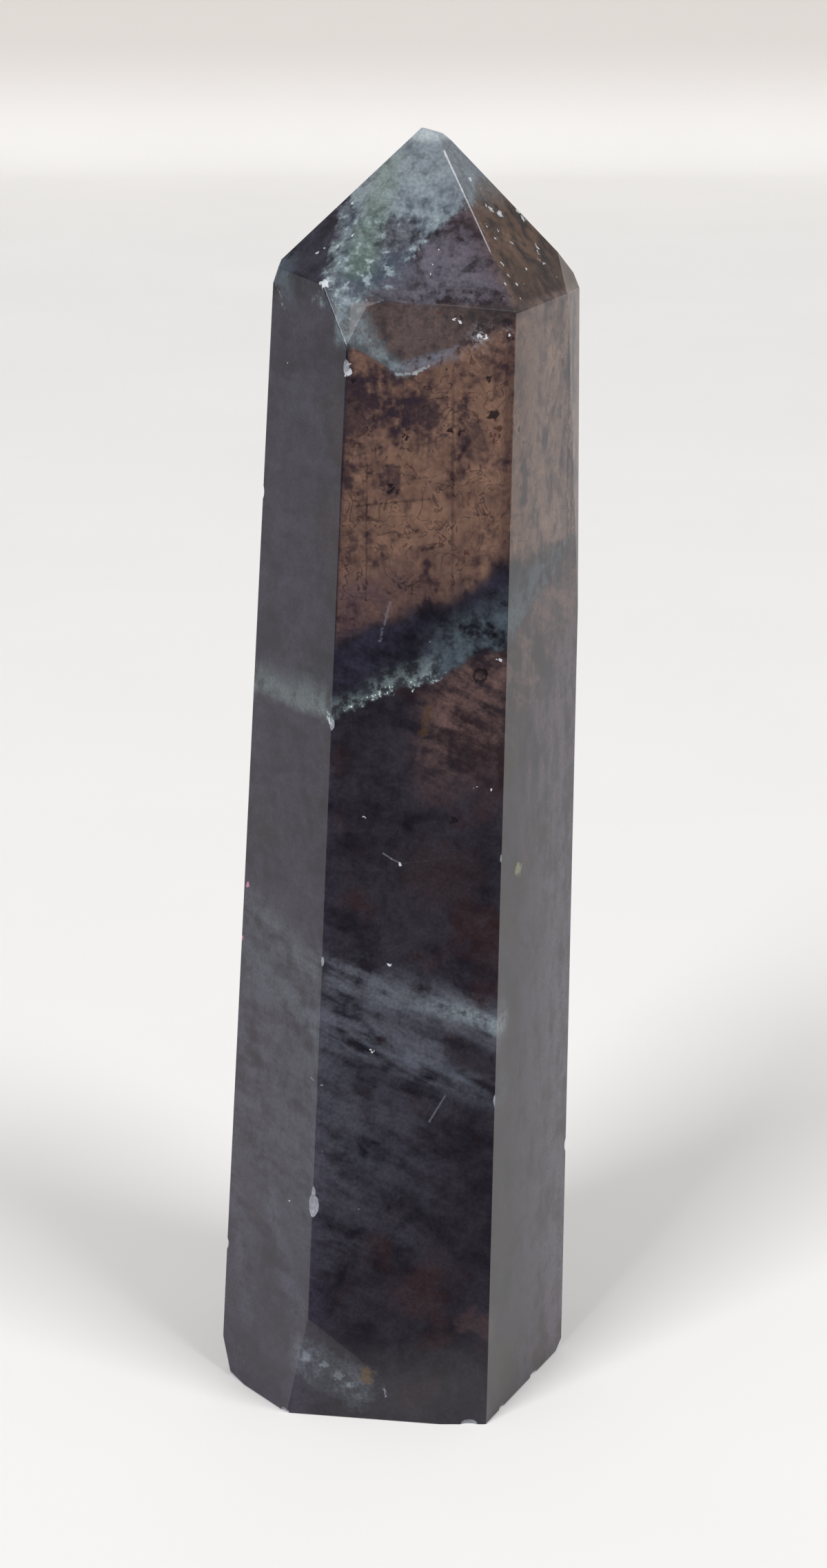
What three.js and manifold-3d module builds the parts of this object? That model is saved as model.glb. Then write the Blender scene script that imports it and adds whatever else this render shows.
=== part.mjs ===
// A fluorite tower: one piece of banded fluorite, ground and polished into a tapering six-sided column
// that ends in a six-sided point and stands on a sawn base.
// Millimetres, +Z up, with the sawn base at height 0. -Y is the front and +X the right.
// The stone is made as a lapidary makes it: a rough block loses everything beyond one flat after another.
// The places below are measured from a centre mark on the base. The finished stone is then moved a
// fraction of a millimetre, so that its origin is the middle of its width and depth at the base.

import * as THREE from 'three';
import { mergeVertices } from 'three/addons/utils/BufferGeometryUtils.js';
import Module from 'manifold-3d';

const wasm = await Module();
wasm.setup();

// Driving dimensions, in millimetres and degrees

const BLOCK_WIDTH = 30; // the rough block, before grinding
const BLOCK_HEIGHT = 90;

const LEAN = 1.9; // the column leans to the right, because the base was sawn a little out of square
const TAPER = 1.3; // how far each long face leans in toward the column's own axis

// The six long faces, each by the direction it faces and its distance from the mark at the base
const LONG_FACES = {
  front: { azimuth: -90, reach: 9.45 },
  right: { azimuth: -25, reach: 9.45 },
  backRight: { azimuth: 36, reach: 9.9 },
  back: { azimuth: 89, reach: 9.2 },
  backLeft: { azimuth: 154, reach: 8.85 },
  left: { azimuth: -143.4, reach: 9.85 },
};

// Hand grinding leaves the long faces faintly rounded from end to end: less taper below, more above
const BELLY = [
  { from: 0, taper: TAPER - 0.3 },
  { from: 25, taper: TAPER },
  { from: 48, taper: TAPER + 0.3 },
];

// Where the six faces of the point would meet if the very tip weren't broken
const APEX = [2.55, -0.4, 79.4];
const POINT_FACES = {
  front: { azimuth: -97.3, tilt: 34.6 },
  right: { azimuth: -26.1, tilt: 38.5 },
  backRight: { azimuth: 40, tilt: 43 },
  back: { azimuth: 88, tilt: 37 },
  backLeft: { azimuth: 152, tilt: 39.5 },
  left: { azimuth: -139.3, tilt: 41.7 },
};

// Small flats that take off corners and edges, each by its direction, its tilt and a point on it
const SMALL_FLATS = {
  leftFrontShoulder: { azimuth: -98.7, tilt: 31, through: [-3.55, -5.85, 70.55] },
  rightShoulder: { azimuth: -16.5, tilt: 29.5, through: [10.15, 1.3, 71.2] },
  leftShoulder: { azimuth: -178, tilt: 18, through: [-6.5, -2.1, 70.4] },
  longRightEdge: { azimuth: -18, tilt: 0.75, through: [10.6, -0.9, 69.3] },
  rightFoot: { azimuth: 0, tilt: -35, through: [10.85, 1.5, 0.2] },
  leftFoot: { azimuth: -172, tilt: -9.5, through: [-10.5, -1.9, 1.3] },
  leftFootUnder: { azimuth: -150, tilt: -30, through: [-9.9, -3, 0.1] },
};

// The big flat across the front left foot: how far it runs along each of the three edges that met there
const FOOT_CUT = { up: 7.1, alongFront: 8.4, alongLeft: 1.9 };

// The shallow hollow under the point's front face: it is what lies beyond all of these flats at once
const HOLLOW = {
  left: { azimuth: -77, tilt: 21.5, through: [-2.3, -7.95, 67.5] },
  middle: { azimuth: -92.5, tilt: 15.5, through: [1.35, -8, 65.83] },
  right: { azimuth: -97.5, tilt: 13, through: [7.3, -7.9, 69.35] },
};

// The tip is broken off in two small faces
const TIP_BREAKS = {
  upper: { azimuth: 10, tilt: 74, through: [2.3, -0.4, 78.8] },
  lower: { azimuth: -15, tilt: 52, through: [3.55, -0.4, 78.2] },
};

// Chips along the edges: the two long faces whose edge each one sits on, its height up the stone,
// its half width and half height, and how deep it bites
const EDGE_CHIPS = [
  { faces: ['front', 'left'], height: 14.7, width: 0.5, tall: 0.7, bite: 0.24 },
  { faces: ['front', 'left'], height: 15.5, width: 0.2, tall: 0.4, bite: 0.1 },
  { faces: ['front', 'left'], height: 45.1, width: 0.3, tall: 0.35, bite: 0.12 },
  { faces: ['front', 'left'], height: 66.2, width: 0.25, tall: 0.4, bite: 0.12 },
  { faces: ['front', 'left'], height: 30.4, width: 0.2, tall: 0.3, bite: 0.08 },
  { faces: ['front', 'right'], height: 21.5, width: 0.2, tall: 0.35, bite: 0.08 },
  { faces: ['front', 'right'], height: 36.8, width: 0.18, tall: 0.25, bite: 0.07 },
  { faces: ['right', 'backRight'], height: 14.2, width: 0.3, tall: 0.4, bite: 0.14 },
  { faces: ['left', 'backLeft'], height: 8.9, width: 0.3, tall: 0.35, bite: 0.13 },
  { faces: ['left', 'backLeft'], height: 57.6, width: 0.25, tall: 0.4, bite: 0.11 },
  { faces: ['back', 'backRight'], height: 27.0, width: 0.35, tall: 0.5, bite: 0.15 },
  { faces: ['back', 'backLeft'], height: 52.0, width: 0.25, tall: 0.4, bite: 0.1 },
];

// Chips along the sawn base: the long face above each one and its place along that face
const BASE_CHIPS = [
  { face: 'front', along: 5.0, width: 0.45, tall: 0.3, bite: 0.15 },
  { face: 'right', along: 1.5, width: 0.5, tall: 0.25, bite: 0.12 },
  { face: 'right', along: -3.6, width: 0.35, tall: 0.2, bite: 0.1 },
  { face: 'left', along: 2.4, width: 0.4, tall: 0.25, bite: 0.12 },
  { face: 'back', along: -2.0, width: 0.6, tall: 0.3, bite: 0.15 },
];

const CHIP_SEGMENTS = { around: 14, down: 8 };

const STONE_COLOUR = 0x3a3640;
const STONE_ROUGHNESS = 0.12;
const STONE_METALNESS = 0;

const UP = new THREE.Vector3(0, 0, 1);
const RIGHT_ANGLE = 90;

// A direction by its azimuth from +X and its tilt above level, both in degrees
function direction(azimuth, tilt) {
  const polar = THREE.MathUtils.degToRad(RIGHT_ANGLE - tilt);
  const around = THREE.MathUtils.degToRad(azimuth);
  const sideways = Math.sin(polar);
  return new THREE.Vector3(sideways * Math.cos(around), sideways * Math.sin(around), Math.cos(polar));
}

// The same direction on the leaning column
function leaning(azimuth, tilt) {
  return direction(azimuth, tilt).applyAxisAngle(new THREE.Vector3(0, 1, 0), THREE.MathUtils.degToRad(LEAN));
}

function flat(normal, through) {
  return new THREE.Plane().setFromNormalAndCoplanarPoint(normal, through);
}

function smallFlat({ azimuth, tilt, through }) {
  return flat(direction(azimuth, tilt), new THREE.Vector3(...through));
}

// The point where three flats meet, by Cramer's rule
function meet(a, b, c) {
  const bc = new THREE.Vector3().crossVectors(b.normal, c.normal);
  const ca = new THREE.Vector3().crossVectors(c.normal, a.normal);
  const ab = new THREE.Vector3().crossVectors(a.normal, b.normal);
  const volume = a.normal.dot(bc);
  bc.multiplyScalar(-a.constant);
  bc.addScaledVector(ca, -b.constant);
  bc.addScaledVector(ab, -c.constant);
  return bc.divideScalar(volume);
}

function levelAt(height) {
  return flat(UP, new THREE.Vector3(0, 0, height));
}

// One long face as its flats from bottom to top, each starting where the one below it has got to
function longFace({ azimuth, reach }) {
  const outward = direction(azimuth, 0);
  const sheer = flat(direction(azimuth + RIGHT_ANGLE, 0), new THREE.Vector3());
  let start = outward.multiplyScalar(reach);
  return BELLY.map(({ from, taper }, step) => {
    const face = flat(leaning(azimuth, taper), start);
    const top = BELLY[step + 1]?.from ?? BLOCK_HEIGHT;
    start = meet(face, sheer, levelAt(top));
    return { from, face };
  });
}

// The flat of a long face that is in force at a height
function faceAt(steps, height) {
  return steps.filter(({ from }) => from <= height).at(-1).face;
}

function toSolid(geometry) {
  const bare = geometry.clone();
  bare.deleteAttribute('normal');
  bare.deleteAttribute('uv');
  const welded = mergeVertices(bare);
  const vertProperties = Float32Array.from(welded.attributes.position.array);
  const triVerts = Uint32Array.from(welded.index.array);
  return new wasm.Manifold(new wasm.Mesh({ numProp: 3, vertProperties, triVerts }));
}

// Each triangle keeps corners of its own, so that the flats are shaded crisp
function toGeometry(solid) {
  const mesh = solid.getMesh();
  const shared = new THREE.BufferGeometry();
  shared.setAttribute('position', new THREE.BufferAttribute(Float32Array.from(mesh.vertProperties), 3));
  shared.setIndex(new THREE.BufferAttribute(Uint32Array.from(mesh.triVerts), 1));
  const geometry = shared.toNonIndexed();
  geometry.computeVertexNormals();
  return geometry;
}

// Everything beyond a flat, as a box large enough to clear the block
function beyond(plane) {
  const size = 3 * BLOCK_HEIGHT;
  const box = new THREE.BoxGeometry(size, size, size).translate(0, 0, size / 2);
  box.applyQuaternion(new THREE.Quaternion().setFromUnitVectors(UP, plane.normal));
  const foot = plane.coplanarPoint(new THREE.Vector3());
  return toSolid(box.translate(foot.x, foot.y, foot.z));
}

function grind(stone, planes) {
  return planes.reduce((left, plane) => left.subtract(beyond(plane)), stone);
}

// A shell-shaped chip: a squashed low ball whose middle stands outside the edge, so only its cap bites in
function chip(stone, edge, outward, { width, tall, bite }) {
  const depth = 2 * bite;
  const ball = new THREE.SphereGeometry(1, CHIP_SEGMENTS.around, CHIP_SEGMENTS.down);
  ball.scale(depth, width * Math.SQRT2, tall * Math.SQRT2);
  ball.rotateZ(Math.atan2(outward.y, outward.x));
  const middle = edge.clone().addScaledVector(outward, depth - bite);
  return stone.subtract(toSolid(ball.translate(middle.x, middle.y, middle.z)));
}

// The six faces of the point, which all pass through the apex
function pointFaces() {
  const apex = new THREE.Vector3(...APEX);
  return Object.values(POINT_FACES).map(({ azimuth, tilt }) => flat(leaning(azimuth, tilt), apex));
}

// The flat across the front left foot, through three points on the edges of its old corner
function footFlat(long) {
  const ground = levelAt(0);
  const front = faceAt(long.front, 0);
  const left = faceAt(long.left, 0);
  const corner = meet(front, left, ground);
  const alongFront = meet(front, faceAt(long.right, 0), ground).sub(corner).normalize();
  const alongLeft = meet(left, faceAt(long.backLeft, 0), ground).sub(corner).normalize();
  const onFront = corner.clone().addScaledVector(alongFront, FOOT_CUT.alongFront);
  const onLeft = corner.clone().addScaledVector(alongLeft, FOOT_CUT.alongLeft);
  const above = meet(front, left, levelAt(FOOT_CUT.up));
  return new THREE.Plane().setFromCoplanarPoints(above, onLeft, onFront);
}

function hollowSolid() {
  const sides = Object.values(HOLLOW).map((side) => beyond(smallFlat(side)));
  return sides.reduce((shared, side) => shared.intersect(side));
}

function chipEdge(stone, long, { faces, height, ...size }) {
  const [one, other] = faces.map((name) => faceAt(long[name], height));
  const outward = one.normal.clone().add(other.normal).normalize();
  return chip(stone, meet(one, other, levelAt(height)), outward, size);
}

function chipBase(stone, { face, along, ...size }) {
  const { azimuth, reach } = LONG_FACES[face];
  const outward = direction(azimuth, 0);
  const sideways = new THREE.Vector3().crossVectors(UP, outward);
  const place = outward.clone().multiplyScalar(reach).addScaledVector(sideways, along);
  return chip(stone, place, outward, size);
}

function fluoriteTower() {
  const block = new THREE.BoxGeometry(BLOCK_WIDTH, BLOCK_WIDTH, BLOCK_HEIGHT);
  let stone = toSolid(block.translate(0, 0, BLOCK_HEIGHT / 2));

  const long = {};
  for (const [name, face] of Object.entries(LONG_FACES)) {
    long[name] = longFace(face);
    stone = grind(stone, long[name].map((step) => step.face));
  }
  stone = grind(stone, pointFaces());
  stone = grind(stone, Object.values(SMALL_FLATS).map(smallFlat));
  stone = grind(stone, Object.values(TIP_BREAKS).map(smallFlat));
  stone = grind(stone, [footFlat(long)]);
  stone = stone.subtract(hollowSolid());
  stone = EDGE_CHIPS.reduce((left, one) => chipEdge(left, long, one), stone);
  stone = BASE_CHIPS.reduce((left, one) => chipBase(left, one), stone);

  const geometry = toGeometry(stone);
  geometry.computeBoundingBox();
  const middle = geometry.boundingBox.getCenter(new THREE.Vector3());
  return geometry.translate(-middle.x, -middle.y, 0);
}

const tower = new THREE.Mesh(
  fluoriteTower(),
  new THREE.MeshStandardMaterial({
    color: STONE_COLOUR,
    roughness: STONE_ROUGHNESS,
    metalness: STONE_METALNESS,
  }),
);
tower.name = 'fluorite_tower';

const model = new THREE.Group();
model.add(tower);

export default model;
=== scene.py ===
# %% [markdown]
# # A polished fluorite tower
# The part is one piece of stone: a six-sided point of fluorite, about 79 mm tall, cut and polished by hand.
# Its shape is made before this script runs, so the work here is its finish: crisp edges with a hair of
# rounding, colour that runs through the stone in sloping layers, and a clear amber part that light comes
# through. Each step below says what it is on the real stone, and then makes it.

import math

import bmesh
import bpy
import numpy as np
from mathutils.bvhtree import BVHTree
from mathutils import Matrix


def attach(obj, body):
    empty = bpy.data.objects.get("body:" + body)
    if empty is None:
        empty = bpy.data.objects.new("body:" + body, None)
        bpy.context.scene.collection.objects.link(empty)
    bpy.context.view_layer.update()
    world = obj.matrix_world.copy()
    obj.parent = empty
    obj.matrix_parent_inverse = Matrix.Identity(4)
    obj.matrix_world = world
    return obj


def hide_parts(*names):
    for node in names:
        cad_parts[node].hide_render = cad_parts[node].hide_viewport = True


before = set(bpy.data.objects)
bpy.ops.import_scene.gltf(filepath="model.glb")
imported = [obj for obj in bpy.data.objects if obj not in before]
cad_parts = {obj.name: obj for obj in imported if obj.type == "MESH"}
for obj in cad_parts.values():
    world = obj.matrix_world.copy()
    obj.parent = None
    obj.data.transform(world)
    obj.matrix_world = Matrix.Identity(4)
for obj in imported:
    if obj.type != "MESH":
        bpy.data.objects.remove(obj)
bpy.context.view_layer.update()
STONE = "fluorite_tower"
MM = 0.001

# %% [markdown]
# ## Camera
# The photograph looks down on the stone by about 17 degrees from some 22 cm away, so its upright edges draw
# together a little towards the table. A camera could be aimed at the stone's middle, but then the horizon and
# the stone's place in the picture are whatever comes out. Here the place, the pitch and the lens were worked
# out from the stone's own edges, so all three are given.

# %% Camera
CAMERA_PLACE = (1.07 * MM, -205.12 * MM, 101.0 * MM)
CAMERA_PITCH_DOWN = 16.86
CAMERA_LENS = 79.8
CAMERA_FILM = 36
NEAREST_SEEN = 0.01
FARTHEST_SEEN = 20

camera_data = bpy.data.cameras.new("camera")
camera_data.lens = CAMERA_LENS
camera_data.sensor_width = CAMERA_FILM
camera_data.clip_start = NEAREST_SEEN
camera_data.clip_end = FARTHEST_SEEN
camera = bpy.data.objects.new("camera", camera_data)
camera.location = CAMERA_PLACE
camera.rotation_euler = (math.radians(90 - CAMERA_PITCH_DOWN), 0, 0)
bpy.context.scene.collection.objects.link(camera)
bpy.context.scene.camera = camera
print("camera looks down", CAMERA_PITCH_DOWN, "degrees through a", CAMERA_LENS, "mm lens")

# %% [markdown]
# ## Surfaces from arrays
# Every new surface starts as a grid of points worked out with numpy. One helper turns such a grid into a
# mesh, so that each shape below is only its formula.


# %% A mesh from a grid of points
def grid_mesh(name, points):
    """A sheet through points, an array of rows x columns x 3. Four neighbouring points make one face."""
    rows, columns, _ = points.shape
    corner = np.arange(rows * columns).reshape(rows, columns)
    faces = np.stack([corner[:-1, :-1], corner[:-1, 1:], corner[1:, 1:], corner[1:, :-1]], axis=-1)
    mesh = bpy.data.meshes.new(name)
    mesh.from_pydata(points.reshape(-1, 3).tolist(), [], faces.reshape(-1, 4).tolist())
    mesh.update()
    sheet = bpy.data.objects.new(name, mesh)
    bpy.context.scene.collection.objects.link(sheet)
    return sheet


# %% [markdown]
# ## Nodes as arithmetic
# A material's pattern is a sum of masks, and such a sum is easier to read as a formula than as a drawing of
# nodes. Signal wraps one node output. Python's + - * and / on it add Math nodes, so 1 - mask is one
# Subtract node. Everything else goes through Graph.add, which takes a node's type, its settings and its
# sockets.


# %% Signal and Graph
class Signal:
    """One node output that can be added, multiplied and so on with numbers and other signals."""

    def __init__(self, graph, socket):
        self.graph = graph
        self.socket = socket

    def __add__(self, other):
        return self.graph.maths("ADD", self, other)

    def __sub__(self, other):
        return self.graph.maths("SUBTRACT", self, other)

    def __mul__(self, other):
        return self.graph.maths("MULTIPLY", self, other)

    def __truediv__(self, other):
        return self.graph.maths("DIVIDE", self, other)

    def __radd__(self, other):
        return self.graph.maths("ADD", other, self)

    def __rsub__(self, other):
        return self.graph.maths("SUBTRACT", other, self)

    def __rmul__(self, other):
        return self.graph.maths("MULTIPLY", other, self)

    def __rtruediv__(self, other):
        return self.graph.maths("DIVIDE", other, self)

    def output(self, name):
        """Another output of the same node."""
        return Signal(self.graph, self.socket.node.outputs[name])


class Graph:
    """The nodes of one material or world."""

    def __init__(self, owner):
        owner.use_nodes = True
        self.tree = owner.node_tree
        self.tree.nodes.clear()

    def add(self, kind, settings=None, sockets=None, output=0):
        """Adds a node, sets it up, fills its sockets with values or links, and gives one of its outputs."""
        node = self.tree.nodes.new(kind)
        for name, value in (settings or {}).items():
            setattr(node, name, value)
        for name, value in (sockets or {}).items():
            if isinstance(value, Signal):
                self.tree.links.new(value.socket, node.inputs[name])
            else:
                node.inputs[name].default_value = value
        return Signal(self, node.outputs[output]) if node.outputs else node

    def maths(self, operation, *values):
        """One Math node."""
        return self.add("ShaderNodeMath", {"operation": operation}, dict(enumerate(values)))

    def vectors(self, operation, *values, output=0):
        """One Vector Math node."""
        return self.add("ShaderNodeVectorMath", {"operation": operation}, dict(enumerate(values)), output)

    def soft(self, value, low, high):
        """0 where value is at low, 1 where it is at high, an S-curve in between. Low may be above high."""
        sockets = {"Value": value, "From Min": low, "From Max": high, "To Min": 0.0, "To Max": 1.0}
        return self.add("ShaderNodeMapRange", {"interpolation_type": "SMOOTHSTEP"}, sockets)

    def near_zero(self, value, far, near):
        """1 where value is within near of 0, fading to 0 where it is far from 0."""
        return self.soft(self.maths("ABSOLUTE", value), far, near)

    def clamped(self, value):
        """The value, kept from 0 to 1."""
        return self.add("ShaderNodeClamp", None, {"Value": value})

    def blend(self, share, under, over):
        """The colour under where share is 0 and the colour over where it is 1."""
        settings = {"data_type": "RGBA", "clamp_factor": True}
        return self.add("ShaderNodeMix", settings, {0: share, 6: under, 7: over}, output=2)

    def noise(self, place, size, detail=3.0, rough=0.5, twist=0.0):
        """Cloudy noise from 0 to 1 whose lumps are about size across."""
        sockets = {"Vector": place, "Scale": 1 / size, "Detail": detail, "Roughness": rough}
        sockets["Distortion"] = twist
        return self.add("ShaderNodeTexNoise", {"noise_dimensions": "3D", "normalize": True}, sockets)


def together(masks):
    """The sum of several masks."""
    total, *others = masks
    for mask in others:
        total = total + mask
    return total


def paint(red, green, blue):
    """A colour as a paint chart gives it, 0 to 255 a channel, turned into the linear light that nodes use."""
    shares = [channel / 255 for channel in (red, green, blue)]
    linear = [((s + 0.055) / 1.055) ** 2.4 if s > 0.04 else s / 12.92 for s in shares]
    return (*linear, 1)


# %% [markdown]
# ## Table and backdrop
# The stone stands on a plain pale table. A single sheet does for both table and backdrop: flat under the
# stone, then bent up behind it in a wide curve, so that no hard corner shows. It is a profile carried
# sideways.

# %% Table and backdrop
SWEEP_FRONT = -1.2
SWEEP_BEND = 0.62
SWEEP_RADIUS = 0.05
SWEEP_TOP = 0.28
SWEEP_HALF_WIDTH = 1.4
TABLE_GAP = 0.02 * MM
TABLE_CLOUDS = 0.05
TABLE_ROUGHNESS = 0.7
WALL_FADE = 0.03
TABLE_PALE = paint(237, 236, 235)
TABLE_PALER = paint(243, 242, 241)
# The upright wall gets a darker colour than the table top: painted shade.
SHADED_WALL_TONE = paint(209, 204, 200)


def sweep_points(steps=16):
    """The profile runs flat to the bend, round a quarter circle and straight up, at each of two sides."""
    turn = np.linspace(0, math.pi / 2, steps)
    wall = SWEEP_BEND + SWEEP_RADIUS
    along = np.concatenate([[SWEEP_FRONT], SWEEP_BEND + SWEEP_RADIUS * np.sin(turn), [wall]])
    up = np.concatenate([[0], SWEEP_RADIUS * (1 - np.cos(turn)), [SWEEP_TOP]]) - TABLE_GAP
    across = np.array([-SWEEP_HALF_WIDTH, SWEEP_HALF_WIDTH])
    x, y = np.meshgrid(across, along)
    z = np.repeat(up[:, None], 2, axis=1)
    return np.stack([x, y, z], axis=-1)


table_material = bpy.data.materials.new("pale_table")
table = Graph(table_material)
table_place = table.add("ShaderNodeTexCoord", output="Object")
table_height = table.add("ShaderNodeSeparateXYZ", None, {0: table_place}, output=2)
table_clouds = table.noise(table_place, TABLE_CLOUDS, detail=4.0)
table_colour = table.blend(table_clouds, TABLE_PALE, TABLE_PALER)
# Painted shade: above the bend the sheet is coloured darker than the table.
table_colour = table.blend(table.soft(table_height, 0.0, WALL_FADE), table_colour, SHADED_WALL_TONE)
table_sockets = {"Base Color": table_colour, "Roughness": TABLE_ROUGHNESS}
table_shader = table.add("ShaderNodeBsdfPrincipled", None, table_sockets)
table.add("ShaderNodeOutputMaterial", None, {"Surface": table_shader})
sweep = grid_mesh("table_sweep", sweep_points())
sweep.data.materials.append(table_material)
sweep.data.polygons.foreach_set("use_smooth", [True] * len(sweep.data.polygons))
print("table sheet:", len(sweep.data.polygons), "faces")

# %% [markdown]
# ## Light
# The light comes from windows: two broad soft lights stand high in front, one on each side, and the stone's
# two faint shadows run back to the left and to the right. The side facets look milky because at their slant
# they mirror the pale table. The front facet looks nearly black, as it does when something dark stands in
# front of it. A studio gets that with a black card, which here shows in mirror reflections alone.

# %% Room and lamps
ROOM_LIGHT = 0.33
ROOM_SEEN = 0.8
ROOM_TINT = (1.0, 0.992, 0.985, 1)
LAMP_DISTANCE = 2.1
LAMP_SIZE = 0.7
LAMP_AIM = (0.0, 0.1, 0.03)
LAMPS = {"left_window": (-122, 39, 26.5), "right_window": (-46, 50, 19.5)}

world = bpy.data.worlds.new("white_room")
bpy.context.scene.world = world
room = Graph(world)
seen = room.add("ShaderNodeLightPath", output="Is Camera Ray")
strength = ROOM_LIGHT + (ROOM_SEEN - ROOM_LIGHT) * seen
room_light = room.add("ShaderNodeBackground", None, {"Color": ROOM_TINT, "Strength": strength})
room.add("ShaderNodeOutputWorld", None, {"Surface": room_light})


def soft_lamp(name, azimuth, height, power):
    """A square lamp that faces LAMP_AIM from an azimuth (0 along +X, 90 along +Y) and a height in degrees."""
    turn, lift = math.radians(azimuth), math.radians(height)
    data = bpy.data.lights.new(name, "AREA")
    data.size = LAMP_SIZE
    data.energy = power
    lamp = bpy.data.objects.new(name, data)
    way = np.array([math.cos(turn) * math.cos(lift), math.sin(turn) * math.cos(lift), math.sin(lift)])
    lamp.location = tuple(np.array(LAMP_AIM) + LAMP_DISTANCE * way)
    lamp.rotation_euler = (math.pi / 2 - lift, 0, turn + math.pi / 2)
    bpy.context.scene.collection.objects.link(lamp)


for lamp_name, (azimuth, height, power) in LAMPS.items():
    soft_lamp(lamp_name, azimuth, height, power)
bpy.context.scene.view_settings.view_transform = "Standard"

# %% Black card
CARD_NEAR = -0.012
CARD_FULL = -0.024
CARD_FAR = -1.1
CARD_HALF_WIDTH = 0.5
CARD_HEIGHT = 0.001
CARD_TONE = (0.10, 0.10, 0.11, 1)

card_x, card_y = np.meshgrid([-CARD_HALF_WIDTH, CARD_HALF_WIDTH], [CARD_FAR, CARD_NEAR])
card = grid_mesh("black_card", np.stack([card_x, card_y, np.full((2, 2), CARD_HEIGHT)], axis=-1))
card_material = bpy.data.materials.new("black_card")
black = Graph(card_material)
card_place = black.add("ShaderNodeTexCoord", output="Object")
card_depth = black.add("ShaderNodeSeparateXYZ", None, {0: card_place}, output=1)
card_share = black.soft(card_depth, CARD_NEAR, CARD_FULL)
black_cloth = black.add("ShaderNodeEmission", None, {"Color": CARD_TONE, "Strength": 1.0})
open_side = black.add("ShaderNodeBsdfTransparent")
card_shader = black.add("ShaderNodeMixShader", None, {0: card_share, 1: open_side, 2: black_cloth})
black.add("ShaderNodeOutputMaterial", None, {"Surface": card_shader})
card.data.materials.append(card_material)
card.visible_camera = False
card.visible_diffuse = False
card.visible_shadow = False
card.visible_transmission = False
print("the card starts", -CARD_NEAR / MM, "mm in front of the stone's middle")

# %% [markdown]
# ## The polished stone
# A real polished edge is never a perfect line: the wheel takes off a few hundredths of a millimetre, and
# that thin strip catches the light. A copy of the stone's mesh is merged into whole facets, and a Bevel
# modifier rounds the edges between facets. It works by edge weight, so that the small broken chips keep
# their sharp rims.

# %% Whole facets from the stone's triangles
MERGE = 0.002 * MM
SLIVER = 0.03 * MM
SAME_PLANE = math.radians(0.15)
WHOLE_FACET = math.radians(1.0)
CORNER = math.radians(4.2)
FACET_AREA = 1.2 * MM * MM
NEEDLE_LENGTH = 1.5 * MM
NEEDLE_WIDTH = 0.3 * MM
HAIR_WIDTH = 0.1 * MM
NEEDLE_ROUNDS = 4
FLATTEN_ROUNDS = 6
EDGE_ROUND = 0.06 * MM
EDGE_STEPS = 2


def join_needles(copy):
    """Joins each long thin leftover triangle to the neighbour that it lies flattest against."""
    joined = set()
    for face in copy.faces:
        longest = max(edge.calc_length() for edge in face.edges)
        width = 2 * face.calc_area() / longest
        if longest < NEEDLE_LENGTH or width > NEEDLE_WIDTH:
            continue
        long_sides = [edge for edge in face.edges if edge.calc_length() > longest / 3]
        shared_sides = [edge for edge in long_sides if len(edge.link_faces) == 2]
        flattest = min(shared_sides, key=lambda edge: edge.calc_face_angle())
        if width < HAIR_WIDTH or flattest.calc_face_angle() < CORNER:
            joined.add(flattest)
    bmesh.ops.dissolve_edges(copy, edges=list(joined))
    return len(joined)


def flatten_facets(copy):
    """Moves the corners of every large face onto its plane, in rounds, so that shared corners settle."""
    large = [face for face in copy.faces if face.calc_area() > FACET_AREA]
    planes = [(face, face.normal.copy(), face.calc_center_median_weighted()) for face in large]
    for _ in range(FLATTEN_ROUNDS):
        for face, normal, middle in planes:
            for corner in face.verts:
                corner.co -= normal * normal.dot(corner.co - middle)


def whole_facets(source, name):
    """A merged copy of a node's mesh, with one face for each facet.

    The edges between facets have bevel weight 1, and an attribute marks the small faces of the chips.
    """
    copy = bmesh.new()
    copy.from_mesh(source.data)
    weight = copy.edges.layers.float.new("bevel_weight_edge")
    chipped = copy.faces.layers.float.new("chipped")
    bmesh.ops.remove_doubles(copy, verts=copy.verts, dist=MERGE)
    bmesh.ops.dissolve_limit(copy, angle_limit=SAME_PLANE, verts=copy.verts, edges=copy.edges)
    bmesh.ops.remove_doubles(copy, verts=copy.verts, dist=SLIVER)
    bmesh.ops.dissolve_degenerate(copy, dist=SLIVER, edges=copy.edges)
    print("needles joined:", [join_needles(copy) for _ in range(NEEDLE_ROUNDS)])
    bmesh.ops.dissolve_limit(copy, angle_limit=WHOLE_FACET, verts=copy.verts, edges=copy.edges)
    copy.normal_update()
    flatten_facets(copy)
    copy.normal_update()
    for face in copy.faces:
        face.smooth = True
        face[chipped] = float(face.calc_area() < FACET_AREA)
    for edge in copy.edges:
        corner = edge.calc_face_angle(0) > CORNER
        between_facets = all(face[chipped] == 0 for face in edge.link_faces)
        edge[weight] = float(corner and between_facets)
        edge.smooth = not corner or between_facets
    mesh = bpy.data.meshes.new(name)
    copy.to_mesh(mesh)
    chip_faces = sum(face[chipped] == 1 for face in copy.faces)
    print("facets:", len(copy.faces) - chip_faces, "chip faces:", chip_faces)
    copy.free()
    return mesh


stone = bpy.data.objects.new("polished_stone", whole_facets(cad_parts[STONE], "polished_stone"))
bpy.context.scene.collection.objects.link(stone)
rounding = stone.modifiers.new("rounded_edges", "BEVEL")
rounding.limit_method = "WEIGHT"
rounding.width = EDGE_ROUND
rounding.segments = EDGE_STEPS
rounding.use_clamp_overlap = False
flat_facets = stone.modifiers.new("flat_facets", "WEIGHTED_NORMAL")
flat_facets.keep_sharp = True
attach(stone, "root")
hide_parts(STONE)

# %% [markdown]
# ## The stone's colour
# Fluorite grows in layers, and each layer takes its own colour. The layers run through the whole stone, so
# the colour is worked out from the place in the stone and not painted on each facet: a band that slopes
# across the front goes on round the sides. Each layer is the height above a sloping plane, made wavy by
# noise. All places and sizes from here on are in millimetres.

# %% Places in the stone
FRONT_OF_ALL = -50.0

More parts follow.
